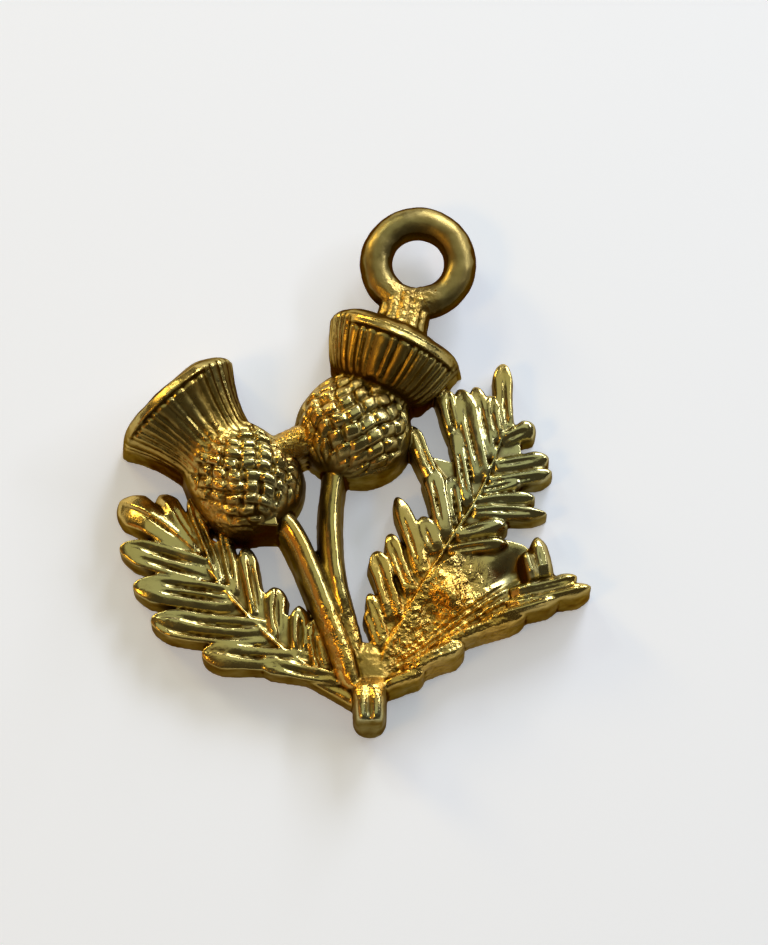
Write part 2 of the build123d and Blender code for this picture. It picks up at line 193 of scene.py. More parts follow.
# Shares of a leaf's length from the foot. Midrib columns: along, to the left, share of the rib's
# width. Lobe columns: root along, root to the left, tip along, tip to the left, width.
low_rib_rows = (
    (0.0, 0.0, 1.0), (0.15, 0.061, 0.95), (0.34, 0.095, 0.85), (0.54, 0.094, 0.75),
    (0.73, 0.075, 0.6), (0.93, 0.05, 0.4),
)
low_lobe_rows = (
    (0.080, 0.022, 0.335, 0.193, 0.077), (0.215, 0.062, 0.487, 0.302, 0.122),
    (0.384, 0.090, 0.696, 0.346, 0.120), (0.537, 0.088, 0.825, 0.308, 0.114),
    (0.657, 0.080, 0.957, 0.246, 0.110), (0.745, 0.070, 1.088, 0.132, 0.162),
    (0.740, 0.072, 1.010, 0.014, 0.110), (0.590, 0.094, 0.915, -0.045, 0.068),
    (0.525, 0.094, 0.790, -0.071, 0.052), (0.430, 0.085, 0.658, -0.066, 0.088),
    (0.325, 0.095, 0.482, -0.040, 0.112), (0.238, 0.073, 0.374, -0.056, 0.080),
    (0.128, 0.059, 0.304, -0.060, 0.096),
)
tall_rib_rows = (
    (0.0, 0.0, 1.2), (0.14, -0.009, 1.0), (0.33, -0.034, 0.8), (0.485, -0.059, 0.7),
    (0.64, -0.084, 0.6), (0.84, -0.080, 0.45),
)
tall_lobe_rows = (
    (0.120, -0.010, 0.226, 0.074, 0.066), (0.135, -0.010, 0.262, 0.092, 0.050),
    (0.205, -0.012, 0.376, 0.120, 0.080), (0.300, -0.032, 0.380, 0.072, 0.052),
    (0.290, -0.028, 0.435, 0.103, 0.060), (0.345, -0.036, 0.538, 0.124, 0.060),
    (0.427, -0.045, 0.515, 0.040, 0.050), (0.470, -0.052, 0.655, 0.072, 0.082),
    (0.600, 0.030, 0.735, 0.172, 0.074), (0.520, -0.069, 0.651, 0.010, 0.050),
    (0.577, -0.075, 0.785, 0.056, 0.054), (0.745, 0.030, 0.872, 0.122, 0.070),
    (0.649, -0.087, 0.886, 0.078, 0.080), (0.716, -0.086, 0.908, 0.040, 0.068),
    (0.778, -0.082, 0.900, -0.005, 0.050), (0.800, -0.100, 1.000, -0.004, 0.070),
    (0.782, -0.078, 0.866, -0.152, 0.078), (0.709, -0.081, 0.796, -0.222, 0.072),
    (0.664, -0.078, 0.765, -0.244, 0.064), (0.632, -0.074, 0.706, -0.176, 0.046),
    (0.596, -0.068, 0.678, -0.228, 0.056), (0.570, -0.065, 0.648, -0.274, 0.048),
    (0.485, -0.060, 0.578, -0.187, 0.066), (0.440, -0.050, 0.530, -0.205, 0.056),
)
chance = np.random.default_rng(7)
casting = []


def shell(rows):
    """A closed surface, kept for the casting, where it is fused with those it overlaps. rows[i, j]
    is place j round section i; each cell between two sections is two triangles, and a fan to its
    own middle closes each end."""
    count, around = rows.shape[:2]
    points = np.vstack([rows.reshape(-1, 3), rows[0].mean(0), rows[-1].mean(0)])
    i, j = np.meshgrid(np.arange(count - 1), np.arange(around), indexing="ij")
    a = i * around + j
    b = i * around + (j + 1) % around
    first = np.arange(around)
    last = first + (count - 1) * around
    start = np.full(around, count * around)
    triangles = (
        (a, b, b + around), (a, b + around, a + around),
        (start, np.roll(first, -1), first), (start + 1, last, np.roll(last, -1)),
    )
    casting.append((points, np.concatenate([np.stack(t, -1).reshape(-1, 3) for t in triangles])))


def on_plan(start, heading, along, across):
    """Places a distance along a heading from a start, and a distance to the heading's left."""
    turn = math.radians(heading)
    ahead = (math.cos(turn), math.sin(turn))
    left = (-math.sin(turn), math.cos(turn))
    return np.asarray(start) + np.multiply.outer(along, ahead) + np.multiply.outer(across, left)


def heading_between(start, end):
    """The angle of the way from a start to an end, in degrees from +X towards +Y."""
    return math.degrees(math.atan2(end[1] - start[1], end[0] - start[0]))


def smooth_rows(rows, count):
    """Rows read at even steps along the Catmull-Rom curve through them, every column alike."""
    rows = np.asarray(rows, float)
    step = np.linspace(0, len(rows) - 1, count)
    i = np.minimum(step.astype(int), len(rows) - 2)
    u = (step - i)[:, None]
    padded = np.vstack([2 * rows[0] - rows[1], rows, 2 * rows[-1] - rows[-2]])
    p, q, r, s = (padded[i + k] for k in range(4))
    return q + 0.5 * u * (r - p + u * (2 * p - 5 * q + 4 * r - s + u * (3 * q - p - 3 * r + s)))


def across_steps(count):
    """Steps across a ridge from -1 to 1, close together at its edges: the sine of an even angle."""
    return np.sin(np.linspace(-math.pi / 2, math.pi / 2, count))


def drawn(t, side):
    """t from -1 to 1 with its middle drawn to one side: (t - side) / (1 - side t)."""
    return (t - side) / (1 - side * t)


def dome(t, fullness):
    """A rounded top over t from -1 to 1: (1 - |t|^fullness)^(1/fullness), 1 at the middle, 0 at the
    edges, and flatter the larger the fullness."""
    return (1 - np.abs(t) ** fullness) ** (1 / fullness)


def domed(edge, crest, steps, fullness):
    """Heights across a ridge: its edge, and over it a dome of as much as the crest is higher."""
    edge, crest = np.atleast_1d(edge)[:, None], np.atleast_1d(crest)[:, None]
    return edge + (crest - edge) * dome(across_steps(steps), fullness)


def ridge(path, half_width, edge, top, share=edge_share):
    """A ridge raised from the back along a path on the plan. top[i, t] is its height over a share
    of the half width, and the walls lean out to the back from half the edge's height. A width or
    height that is given once holds all along."""
    level = np.zeros(len(path))
    half_width, edge, top = half_width + level, edge + level, top + level[:, None]
    ahead = np.gradient(path, axis=0)
    ahead /= np.linalg.norm(ahead, axis=1)[:, None]
    left = np.stack([-ahead[:, 1], ahead[:, 0]], 1)
    t = across_steps(top.shape[1])
    sides = np.concatenate([[-1.0, -0.5 * (1 + share)], share * t, [0.5 * (1 + share), 1.0]])
    flat = path[:, None] + left[:, None] * (half_width[:, None] * sides)[..., None]
    wall = np.stack([0 * edge, 0.5 * edge], 1)
    heights = np.concatenate([wall, top, wall[:, ::-1]], 1)
    shell(np.concatenate([flat, heights[..., None]], 2))


def on_leaf(heading, length, row):
    """A place on a leaf, from a row that starts with its shares along and to the left."""
    return on_plan(foot, heading, length * row[0], length * row[1])


def spacings(rows):
    """How far each lobe's middle line lies from its neighbours', a mean of the two, in shares of
    the leaf's length: the cross product of a lobe's way with the step to the next one's middle."""
    rows = np.array(rows)
    ways = rows[:, 2:4] - rows[:, :2]
    middles = rows[:, :2] + lobe_middle * ways
    ways /= np.linalg.norm(ways, axis=1)[:, None]
    step = np.diff(middles, axis=0)
    gap = np.abs(ways[:-1, 0] * step[:, 1] - ways[:-1, 1] * step[:, 0])
    gap = np.concatenate([gap[:1], gap, gap[-1:]])
    return 0.5 * (gap[:-1] + gap[1:])


def lobe(heading, length, row, spacing, crest, filing,
         edge=edge_height, share=edge_share, fall=0.0):
    """One lobe: near the midrib it fills its spacing, and towards its tip it takes its own width,
    closed by a quarter of a full oval past the nose's share of its run. Its top is a dome drawn to
    one side, less bell-shaped cuts that run out towards its tip. Each strip between two cuts tilts
    across by a slope of its own. From a share of the run on, the tip falls as a power of the way
    past it, a little more to the left."""
    side, fullness, pitch, cut_width, cut_depth = filing
    root = on_leaf(heading, length, row[0:2])
    tip = on_leaf(heading, length, row[2:4])
    run = math.dist(root, tip)
    s = np.sin(np.linspace(0, math.pi / 2, lobe_steps))
    bow = lobe_bow * run * chance.uniform(-1, 1)
    path = on_plan(root, heading_between(root, tip), s * run, bow * np.sin(math.pi * s))
    nose = np.clip((s - lobe_nose) / (1 - lobe_nose), 0, 1)
    oval = (1 - nose**lobe_nose_fullness) ** (1 / lobe_nose_fullness)
    width = length * row[4] / 2
    inner = 0.5 * lobe_overlap * length * spacing
    inner = np.clip(inner, lobe_least_root * width, lobe_most_root * width)
    of_spacing, of_width, rise = (
        np.interp(s, lobe_sections[:, 0], lobe_sections[:, k]) for k in (1, 2, 3)
    )
    half_width = (inner * of_spacing + width * of_width) * oval + 1e-4
    rise = rise * (crest - edge) * (1 + lobe_unevenness * chance.uniform(-1, 1))
    t = across_steps(lobe_steps_across)
    top = edge + rise[:, None] * dome(drawn(t, side), fullness)

    strips = max(2, int(round(2 * share * inner / pitch)))
    shifts = cut_shift * chance.uniform(-1, 1, strips - 1)
    cuts = -1 + 2 * (np.arange(1, strips) + shifts) / strips
    ends = np.concatenate([[-1.0], cuts, [1.0]])
    strip = np.searchsorted(cuts, t)
    off_middle = t - 0.5 * (ends[strip] + ends[strip + 1])
    top += facet_tilt * chance.uniform(-1, 1, strips)[strip] * off_middle * half_width[:, None]
    for cut in cuts:
        bell = np.exp(-(((t - cut) * half_width[:, None] / (0.5 * cut_width)) ** 2))
        start, end = chance.uniform(*cut_start), chance.uniform(*cut_end)
        run_in = np.clip((s - start) / cut_run_in, 0, 1) * np.clip((end - s) / cut_run_out, 0, 1)
        top -= cut_depth * chance.uniform(*cut_unevenness) * run_in[:, None] * bell
    drop = fall * run * np.clip(s[:, None] - tip_from + tip_slant * t, 0, 1) ** tip_ease
    ridge(path, half_width, edge - drop.min(axis=1), top - drop, share)


def midrib(heading, length, rows, crest):
    """A narrow ridge along a smooth curve through the rows, thinning out to its end."""
    rows = smooth_rows(rows, 120)
    path = on_plan(foot, heading, length * rows[:, 0], length * rows[:, 1])
    ridge(path, rib_width * rows[:, 2] / 2, edge_height, domed(edge_height, crest, 21, 2.0))


def plate(heading, length, right_rows, left_rows, height, steps=(90, 60)):
    """A leaf's blade: at u along the leaf and v from its right outline to its left one, its height
    is height(u, v), over a flat back."""
    right = np.array(sorted(right_rows))
    left = np.array(sorted(left_rows))
    u = np.linspace(max(right[0, 0], left[0, 0]), min(right[-1, 0], left[-1, 0]), steps[0])
    low = np.interp(u, right[:, 0], right[:, 1])[:, None]
    high = np.interp(u, left[:, 0], left[:, 1])[:, None]
    across = low + (high - low) * np.linspace(0, 1, steps[1])
    along = np.broadcast_to(u[:, None], across.shape)
    place = np.stack([along, across], -1) * length
    turn = math.radians(heading)
    spin = np.array(((math.cos(turn), math.sin(turn)), (-math.sin(turn), math.cos(turn))))
    flat = np.asarray(foot) + place @ spin
    top = np.concatenate([flat, height(along, across)[..., None]], 2)
    back = np.concatenate([flat, np.zeros(flat.shape[:2] + (1,))], 2)
    shell(np.concatenate([top, back[:, ::-1]], 1))


def reach_rows(rib_rows, lobe_rows, reach):
    """The two outlines of a blade, right and left: out along each lobe for a share of its run."""
    rows = np.array(lobe_rows)
    out = rows[:, :2] + reach * (rows[:, 2:4] - rows[:, :2])
    to_left = rows[:, 3] > rows[:, 1]
    ends = np.array((rib_rows[0][:2], rib_rows[-1][:2]))
    return [np.vstack([ends, out[side]]).tolist() for side in (~to_left, to_left)]


def leaf(heading, length, rib_rows, lobe_rows, reach, left_edge,
         right_filing, left_filing, end_filing):
    """A whole leaf: its blade, a lobe for each row, and its midrib. A lobe that reaches past the
    leaf's length is its end, and falls at the tip."""
    outlines = reach_rows(rib_rows, lobe_rows, reach)
    plate(heading, length, *outlines, lambda u, v: 0 * u + blade_height)
    for row, spacing in zip(lobe_rows, spacings(lobe_rows)):
        on_left = row[3] > row[1]
        at_end = row[2] > 1.0
        filing = end_filing if at_end else left_filing if on_left else right_filing
        edge = left_edge if on_left else edge_height
        lobe(heading, length, row, spacing, lobe_crest, filing, edge, fall=tip_fall * at_end)
    midrib(heading, length, rib_rows, rib_crest)


leaf(low_leaf_heading, low_leaf_length, low_rib_rows, low_lobe_rows, low_blade_reach,
     left_edge_height, low_right_filing, low_left_filing, low_end_filing)
leaf(tall_leaf_heading, tall_leaf_length, tall_rib_rows, tall_lobe_rows, tall_blade_reach,
     edge_height, tall_right_filing, tall_left_filing, tall_left_filing)

# Leaf at the lower right: a plate cast rough, with a mound in its middle and a sunken trough behind
# two spikes. Long blunt lobes lie along its lower edge.
side_leaf_length = 9.95
side_leaf_heading = 24.5
side_edge_height = 1.10
side_edge_share = 0.68
side_lobe_crest = 1.70
side_filing = (0.1, 2.4, 0.50, 0.14, 0.08)
spike_crest = 2.00
plate_height = 0.95

# Trough and mound: place along and to the left, half width along and across
trough = (0.735, 0.205, 0.085, 0.060)
trough_floor = 0.55
mound = (0.475, 0.215, 0.055, 0.075)
mound_crest = 1.50
bank_width = 0.13
bank_height = 1.35
bank_end = 0.66
bank_run_out = 0.12
streak_centre = -0.15
streak_pitch = 0.042
streak_depth = 0.07
streak_wave = 0.15
streak_wave_rate = 9
streak_span = 0.26
streak_fade = 0.05
streak_end = 0.80
streak_run_out = 0.2

side_rib_rows = (
    (0.0, 0.0, 1.4), (0.27, 0.020, 1.2), (0.50, 0.045, 1.0), (0.73, 0.060, 0.8), (0.90, 0.035, 0.6),
)
side_lobe_rows = (
    (0.060, -0.014, 0.250, -0.026, 0.096), (0.166, 0.006, 0.440, 0.004, 0.130),
    (0.350, 0.044, 0.714, 0.016, 0.104), (0.545, 0.066, 0.870, 0.024, 0.096),
    (0.667, 0.080, 1.000, 0.010, 0.110), (0.700, 0.125, 0.968, 0.072, 0.112),
)
side_spike_rows = ((0.848, 0.101, 0.888, 0.286, 0.084), (0.803, 0.110, 0.822, 0.250, 0.080))
side_left_rows = (
    (0.05, 0.0), (0.149, 0.12), (0.253, 0.193), (0.379, 0.295), (0.497, 0.350), (0.647, 0.372),
    (0.765, 0.352), (0.838, 0.285), (0.880, 0.150), (0.94, 0.05),
)
side_right_rows = ((0.05, 0.0), (0.40, 0.02), (0.70, 0.03), (0.94, 0.05))


def side_height(u, v):
    """The plate's height: level, less a bell for the trough and more one for the mound, and rising
    over the bank to the taller leaf. A bell is the exponential of minus the squared distance from
    its middle over its half widths. Along the lower edge run streaks, a sine of the slope from a
    centre behind the foot, wavering along the leaf."""
    low, high = (
        np.exp(-((u - along) / half_along) ** 2 - ((v - left) / half_across) ** 2)
        for along, left, half_along, half_across in (trough, mound)
    )
    outline = np.array(side_left_rows)
    off_outline = np.interp(u, outline[:, 0], outline[:, 1]) - v
    before_end = np.clip((bank_end - u) / bank_run_out, 0, 1)
    rise = np.clip(1 - off_outline / bank_width, 0, 1) * before_end
    level = plate_height + (bank_height - plate_height) * rise
    fan = v / (u - streak_centre)
    wave = streak_wave * np.sin(streak_wave_rate * u)
    streaks = streak_depth * np.sin(2 * math.pi * (fan / streak_pitch + wave))
    streaks *= np.clip((streak_span - fan) / streak_fade, 0, 1)
    level += streaks * np.clip((streak_end - u) / streak_run_out, 0, 1)
    return level + (trough_floor - plate_height) * low + (mound_crest - plate_height) * high


plate(side_leaf_heading, side_leaf_length, side_right_rows, side_left_rows, side_height, (160, 120))
for row, spacing in zip(side_lobe_rows, spacings(side_lobe_rows)):
    lobe(side_leaf_heading, side_leaf_length, row, spacing, side_lobe_crest, side_filing,
         side_edge_height, side_edge_share)
for row in side_spike_rows:
    lobe(side_leaf_heading, side_leaf_length, row, row[4], spike_crest, side_filing)
midrib(side_leaf_heading, side_leaf_length, side_rib_rows, lobe_crest)

# Flower heads: two thistles cast with the rest, each an egg-shaped base under square scales that
# stand on their corners, and a tuft of fluted petals that flares to a flat sloping lip.
tall_head = (0.04, 1.30)
tall_head_lean = 67.0
tall_bulb_radius = 2.32
tall_bulb_back = 2.00
tall_bulb_shift = 0.17
tall_bulb_fullness = 1.8
tall_neck_radius = 1.62
tall_crown_length = 2.05
tall_rim_radius = 2.80
tall_flare = 0.55
tall_lip_start = -0.22
tall_lip_width = 0.38
tall_lip_from, tall_lip_to = 0.70, 3.0
tall_scale_row = 0.66
tall_scale_column = 0.74
tall_hand = -1
tall_bare_side = -1.0
low_head = (-4.32, -0.76)
low_head_lean = 131.0
low_bulb_radius = 2.15
low_bulb_back = 2.20
low_bulb_fullness = 2.6
low_neck_radius = 1.75
low_crown_length = 2.30
low_rim_radius = 2.80
low_flare = 1.50
low_lip_start = 0.0
low_lip_width = 0.44
low_lip_from, low_lip_to = 0.30, 2.35
low_scale_row = 0.50
low_scale_column = 0.72
low_hand = 1
low_bare_side = 0.35
head_axis_height = 1.25
head_wall_lean = 0.12
neck_distance = 1.85
bulb_reach = 0.985
bulb_steps = (220, 300)

# Scales. The unevenness and the tilt of single scales and the cuts between them are shares of the
# scales' depth. A table of chance numbers holds what each scale gets, and its cuts and tilts are
# read some rows or columns on from its height. Towards the walls the scales run out as the sine
# of the angle round the head, stretched. Angles round a head are radians from its right.
scale_depth = 0.32
scale_gap = 0.19
scale_fullness = 3.2
scale_roundness = 0.62
scale_unevenness = 0.20
scale_tilt = 0.35
scale_cut = 0.8
scale_least_cut = 0.40
row_wave = 0.12
row_wave_rate = 2.1
row_wave_start = 0.7
row_shift = 0.3
scale_table = 64
cut_step = 9
tilt_steps = (17, 29)
side_stretch = 2.6
side_start = 0.45
bare_run_in = 0.3
back_run_in = 0.30

# Petals, and the lip at their ends
crown_steps = (170, 400)
cap_steps = 130
cap_start = 0.01
petals = 19
petal_depth = 0.17
petal_roundness = 0.6
petal_widths = (0.55, 1.45)
petal_depths = (0.45, 1.25)
petal_run_ins = (0.5, 7.0)
petal_least = 0.3
crown_root = -0.25
cap_height = 1.00
cap_fullness = 2.2
rim_past = 0.17
lip_rise = 0.13
lip_slope = 0.45
lip_groove = 0.09
lip_groove_place = -0.03
lip_groove_width = 0.07
lip_step = 0.42
lip_step_run = 0.12
lip_fade = 0.05
lip_cover = 0.10
lip_edge = 0.06
lip_turn_in = 0.35


def head(place, lean, along, radii):
    """A head's surface: over each place along its axis a half circle of the given radii, with
    radii[i, j] at even angles from its right to its left, and walls from its ends to the back."""
    count, around = radii.shape
    turn = np.linspace(0, math.pi, around)
    across = radii * np.cos(turn)
    height = head_axis_height + radii * np.sin(turn)
    feet = np.stack([across[:, 0] + head_wall_lean, across[:, -1] - head_wall_lean], 1)
    middle = np.stack([0.5 * (across[:, 0] + feet[:, 0]), 0.5 * (across[:, -1] + feet[:, 1])], 1)
    across = np.concatenate([feet[:, :1], middle[:, :1], across, middle[:, 1:], feet[:, 1:]], 1)
    ground = np.zeros((count, 1))
    half = ground + 0.5 * head_axis_height
    height = np.concatenate([ground, half, height, half, ground], 1)
    flat = on_plan(place, lean, along[:, None] + 0 * across, across)
    shell(np.concatenate([flat, height[..., None]], 2))


def bulb(place, lean, radius, back, neck, fullness, scale_row, scale_column, hand, bare_side):
    """The base of a flower: behind its middle the radius falls as (1 - (s/back)^fullness)^0.5, in
    front as a parabola to the neck. Scales lie in rows that wind round it at 45 degrees to one
    hand. Across a row their top is a low dome, which is higher, lower or tilted from one scale to
    the next. Cuts part them within a row, at places of the row's own, some shallow. The scales run
    out towards the walls, and before the bare side's angle there are none."""
    along = np.linspace(-bulb_reach * back, neck_distance, bulb_steps[0])
    behind = radius * (1 - np.clip(-along / back, 0, 1) ** fullness) ** 0.5
    front = radius - (radius - neck) * np.clip(along / neck_distance, 0, 1) ** 2
    swell = np.where(along < 0, behind, front)[:, None]
    turn = np.linspace(0, math.pi, bulb_steps[1])
    winding = along[:, None] / math.sqrt(2) + 0 * turn
    arc = hand * turn * radius / math.sqrt(2)
    row_way = (winding + arc) / scale_row
    column_way = (winding - arc) / scale_column
    row_way = row_way + row_wave * np.sin(row_wave_rate * column_way + row_wave_start)
    row = np.floor(row_way).astype(int)
    shift = chance.uniform(-row_shift, row_shift, scale_table)
    column_way = column_way + shift[row % scale_table]
    column = np.floor(column_way).astype(int)
    near_cut = np.floor(column_way + 0.5).astype(int)
    across_row = 2 * (row_way - row) - 1
    off_cut = scale_column * np.abs((column_way + 0.5) % 1 - 0.5)
    table = chance.uniform(-1, 1, (scale_table, scale_table))
    of_cut = table[row % scale_table, (near_cut + cut_step) % scale_table]
    of_height = table[row % scale_table, column % scale_table]
    of_tilt = table[(row + tilt_steps[0]) % scale_table, (column + tilt_steps[1]) % scale_table]
    bar = (1 - np.abs(across_row) ** scale_fullness) ** scale_roundness
    cut_share = scale_least_cut + (1 - scale_least_cut) * np.clip(0.5 + of_cut, 0, 1)
    cut = cut_share * np.exp(-((off_cut / (0.5 * scale_gap)) ** 2)) * bar
    uneven = scale_unevenness * of_height + scale_tilt * (of_tilt * across_row)
    sides = np.clip(np.sin(turn) * side_stretch - side_start, 0, 1)
    sides = sides * np.clip((turn - bare_side) / bare_run_in, 0, 1)
    ends = np.clip((along + back) / (back_run_in * back), 0, 1)[:, None]
    depth = scale_depth * sides * ends * (bar - 1 - scale_cut * cut + uneven * bar)
    head(place, lean, along, swell * (1 + 0 * turn) + depth)


def crown(place, lean, length, neck, rim, flare, lip_start, lip_width, lip_from, lip_to):
    """The tuft: its radius grows from the neck to the rim as the share of the way to the power of
    the flare. Flutes run along it, at uneven angles and each with its own depth, and under the lip.
    Between two angles the lip stands proud and slopes evenly, with a fine groove before it, and a
    step falls behind it. Past the tuft the radius falls as a dome."""
    to_rim = np.linspace(crown_root, length, crown_steps[0])
    past_rim = length + cap_height * np.linspace(cap_start, 1, cap_steps)
    along = np.concatenate([to_rim, past_rim])
    share = np.clip(along / length, 0, 1)
    swell = neck + (rim - neck) * share**flare
    past = np.clip((along - length) / cap_height, 0, 1)
    swell = swell * (1 - past**cap_fullness) ** 0.5 + 1e-3

    turn = np.linspace(0, math.pi, crown_steps[1])
    edges = np.concatenate([[0.0], np.cumsum(chance.uniform(*petal_widths, petals))])
    place_round = np.interp(turn, edges / edges[-1] * math.pi, np.arange(petals + 1))
    number = np.minimum(np.floor(place_round).astype(int), petals - 1)
    deep = chance.uniform(*petal_depths, petals)[number]
    run_in = chance.uniform(*petal_run_ins, petals)[number]
    flute = np.abs(np.sin(math.pi * place_round)) ** petal_roundness - 1

    lip = np.clip((turn - lip_from) / lip_turn_in, 0, 1)
    lip = lip * np.clip((lip_to - turn) / lip_turn_in, 0, 1)
    lip_start = length + lip_start
    past_start = along[:, None] - lip_start
    rim_line = (length + rim_past) * (1 - lip) + lip_start * lip
    before_rim = np.clip((rim_line + lip_cover * lip - along[:, None]) / lip_fade, 0, 1)
    fade = np.clip(share[:, None] * run_in + petal_least, 0, 1) * before_rim
    radii = swell[:, None] + petal_depth * deep * flute * fade
    radii -= lip_groove * lip * np.exp(-(((past_start - lip_groove_place) / lip_groove_width) ** 2))
    slope = np.interp(lip_start, along, swell) + lip_rise - lip_slope * past_start
    on_lip = lip * np.clip(past_start / lip_edge, 0, 1)
    on_lip = on_lip * np.clip((lip_width - past_start) / lip_edge, 0, 1)
    radii -= lip_step * lip * np.clip((past_start - lip_width) / lip_step_run, 0, 1)
    radii += on_lip * (slope - radii)
    head(on_plan(place, lean, neck_distance, 0), lean, along, np.maximum(radii, 1e-3))


tall_bulb = on_plan(tall_head, tall_head_lean, 0, tall_bulb_shift)
bulb(tall_bulb, tall_head_lean, tall_bulb_radius, tall_bulb_back, tall_neck_radius,
     tall_bulb_fullness, tall_scale_row, tall_scale_column, tall_hand, tall_bare_side)
crown(tall_head, tall_head_lean, tall_crown_length, tall_neck_radius, tall_rim_radius, tall_flare,
      tall_lip_start, tall_lip_width, tall_lip_from, tall_lip_to)
bulb(low_head, low_head_lean, low_bulb_radius, low_bulb_back, low_neck_radius,
     low_bulb_fullness, low_scale_row, low_scale_column, low_hand, low_bare_side)
crown(low_head, low_head_lean, low_crown_length, low_neck_radius, low_rim_radius, low_flare,
      low_lip_start, low_lip_width, low_lip_from, low_lip_to)

# Stems: two round-topped stems cast with the rest, from the base of each flower down to the foot,
# where the taller one sinks under the other.
stem_edge_height = 0.80
stem_crest = 1.90
stem_side = 0.25
stem_fullness = 2.4
stem_nose = 0.12
stem_facet = 0.52
stem_facet_from = 0.36
low_stem_width = 1.20
low_stem_start = -1.10 * low_bulb_back
tall_stem_width = 1.08
tall_stem_start = -0.95 * tall_bulb_back

# Columns: share of the way from the flower to the foot, share of it to the left, share of the crest
low_stem_rows = (
    (-0.12, -0.03, 1.0), (0.0, 0.01, 1.0), (0.15, 0.02, 1.0), (0.43, 0.005, 1.0),
    (0.74, -0.022, 1.0), (0.88, -0.037, 0.95), (0.97, -0.043, 0.86),
)
tall_stem_rows = (
    (-0.06, 0.01, 1.0), (0.0, 0.002, 1.0), (0.15, -0.036, 1.0), (0.33, -0.058, 1.0),
    (0.52, -0.056, 0.95), (0.70, -0.034, 0.75), (0.88, -0.016, 0.68), (0.96, -0.018, 0.64),
)


def stem(base, rows, width):
    """A ridge with a round top, drawn to its left, along a smooth curve through the rows. Half an
    oval closes its end. A flat facet slopes down on its left flank: the top is the lower of the
    dome and that slope."""
    run = math.dist(base, foot)
    rows = smooth_rows(rows, 140)
    path = on_plan(base, heading_between(base, foot), run * rows[:, 0], run * rows[:, 1])
    nose = np.clip((rows[:, 0] - rows[-1, 0] + stem_nose) / stem_nose, 0, 1)
    half_width = width / 2 * (1 - nose**2) ** 0.5 + 1e-3
    t = across_steps(41)
    rise = stem_crest * rows[:, 2:] - stem_edge_height
    top = stem_edge_height + rise * dome(drawn(t, stem_side), stem_fullness)
    facet = stem_edge_height + rise - stem_facet * (t - stem_facet_from) * half_width[:, None]
    ridge(path, half_width, stem_edge_height, np.minimum(top, facet))


stem(on_plan(low_head, low_head_lean, low_stem_start, 0), low_stem_rows, low_stem_width)
stem(on_plan(tall_bulb, tall_head_lean, tall_stem_start, 0), tall_stem_rows, tall_stem_width)

# Foot: a stub of stalk cut off round, with a groove down its middle, a knot over it where stems and
# leaves meet, and the lowest leaf's edge that runs on into the stub's side, all cast with the rest.
stub_heading = 271.0
stub_length = 1.62
stub_width = 1.32
stub_shift = 0.21
stub_crest = 2.20
stub_edge_share = 0.72
stub_fullness = 3.0
stub_nose_from = 0.55
stub_groove = 0.22
stub_groove_width = 0.25
stub_groove_middle = 0.45
stub_groove_slope = 2.2
stub_groove_strength = 1.3
knot_heading = 86.0
knot_start = (foot[0] + 0.10, foot[1] - 0.35)
knot_length = 2.40
knot_width = 1.95
knot_crest = 1.42
knot_edge_share = 0.75
knot_fullness = 2.2
flank_ends = ((-1.80, -8.72), (0.05, -9.42))
flank_half_widths = (0.10, 0.42)
flank_edge = 0.85
flank_crest = 1.15
flank_fullness = 2.2

# Columns of both: share of its length, of its width, of its crest
stub_rows = smooth_rows((
    (-0.60, 1.30, 0.45), (-0.15, 1.20, 0.80), (0.20, 1.06, 0.96), (0.50, 1.02, 0.98),
    (0.72, 1.0, 0.96), (0.82, 0.98, 0.86), (0.91, 0.96, 0.45), (1.0, 0.92, 0.10),
), 90)
knot_rows = smooth_rows((
    (0.0, 0.60, 0.80), (0.35, 1.0, 1.0), (0.70, 0.80, 0.95), (1.0, 0.40, 0.80),
), 50)

stub_start = (foot[0] + stub_shift, foot[1])
stub_path = on_plan(stub_start, stub_heading, stub_rows[:, 0] * stub_length, 0 * stub_rows[:, 0])
stub_nose = np.clip((stub_rows[:, 0] - stub_nose_from) / (1 - stub_nose_from), 0, 1)
stub_half_width = stub_width / 2 * stub_rows[:, 1] * ((1 - stub_nose**3.0) ** 0.5 + 1e-3)
stub_edge = stub_edge_share * stub_crest * stub_rows[:, 2]
stub_top = domed(stub_edge, stub_crest * stub_rows[:, 2], 31, stub_fullness)
stub_bell = stub_groove * np.exp(-((across_steps(31) / stub_groove_width) ** 2))
off_middle = np.abs(stub_rows[:, :1] - stub_groove_middle)
stub_top -= stub_bell * np.clip(stub_groove_strength - off_middle * stub_groove_slope, 0, 1)
ridge(stub_path, stub_half_width, stub_edge, stub_top)

knot_path = on_plan(knot_start, knot_heading, knot_rows[:, 0] * knot_length, 0 * knot_rows[:, 0])
knot_edge = knot_edge_share * knot_crest * knot_rows[:, 2]
knot_top = domed(knot_edge, knot_crest * knot_rows[:, 2], 31, knot_fullness)
ridge(knot_path, knot_width / 2 * knot_rows[:, 1], knot_edge, knot_top)

flank_line = np.linspace(*flank_ends, 40)
flank_top = domed(flank_edge, flank_crest, 21, flank_fullness)
ridge(flank_line, np.linspace(*flank_half_widths, 40), flank_edge, flank_top)

# Bridge and web: a lumpy bar cast between the two flowers, and a thick smooth web that joins the
# lower one to its leaf and stem.
bridge_width = 1.60
bridge_shift = 0.62
bridge_crest = 2.30
bridge_fullness = 2.2
bridge_sunk = 0.55
web_height = 2.35
web_lean = 0.32
web_rows = ((-0.50, -0.50), (0.50, -0.52), (0.60, -0.90), (-0.30, -0.90))

bridge_way = heading_between(low_head, tall_head)
bridge_line = np.linspace(
    on_plan(low_head, bridge_way, bridge_sunk * low_bulb_radius, bridge_shift),
    on_plan(tall_head, bridge_way, -bridge_sunk * tall_bulb_radius, bridge_shift), 60,
)
bridge_top = domed(head_axis_height, bridge_crest, 31, bridge_fullness)
ridge(bridge_line, bridge_width / 2, head_axis_height, bridge_top)

